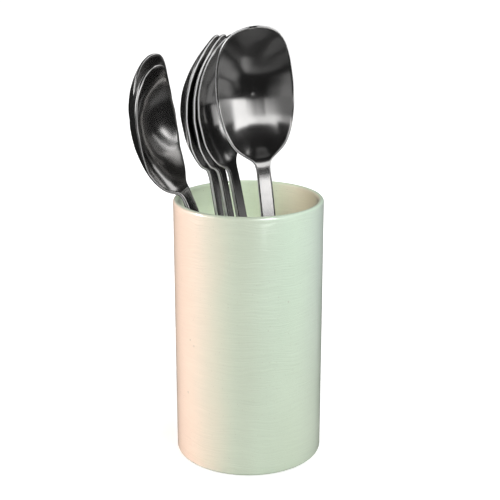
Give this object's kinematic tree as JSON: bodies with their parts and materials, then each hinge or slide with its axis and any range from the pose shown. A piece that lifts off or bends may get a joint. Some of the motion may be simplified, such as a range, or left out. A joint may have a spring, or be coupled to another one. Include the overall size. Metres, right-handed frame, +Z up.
{
  "type": "utensil crock",
  "caption": "tall straight-sided glazed stoneware crock with a rounded lip, holding a set of steel serving spoons stood in it handle down",
  "frame": {"origin": "centre of the crock's base, on the surface that it stands on", "axes": "+Z up along the crock's axis, -Y to the front, +X to the right seen from the front"},
  "size_m": [0.1302, 0.1, 0.2965],
  "materials": {
    "glazed_stoneware": "satin glaze",
    "stainless_steel": "polished"
  },
  "bodies": {
    "crock": {"crock": "glazed_stoneware"},
    "front_spoon": {"front_spoon": "stainless_steel"},
    "nested_stack": {"nested_spoon_front": "stainless_steel", "nested_spoon_middle": "stainless_steel", "nested_spoon_rear": "stainless_steel"},
    "left_pair": {"left_spoon_front": "stainless_steel", "left_spoon_rear": "stainless_steel"}
  },
  "joints": [
    {"name": "front_spoon_lean", "type": "hinge", "parent": "crock", "child": "front_spoon", "pos_m": [0.03045, -0.01642, 0.0055], "axis": [0.2588, 0.9659, 0], "range_deg": [0, 6.3]},
    {"name": "nested_stack_lift", "type": "slide", "parent": "crock", "child": "nested_stack", "axis": [-0.1174, -0.1313, 0.9844], "range_m": [0, 0.185]},
    {"name": "left_pair_lift", "type": "slide", "parent": "crock", "child": "left_pair", "axis": [-0.2754, -0.0871, 0.9574], "range_m": [0, 0.19]}
  ]
}
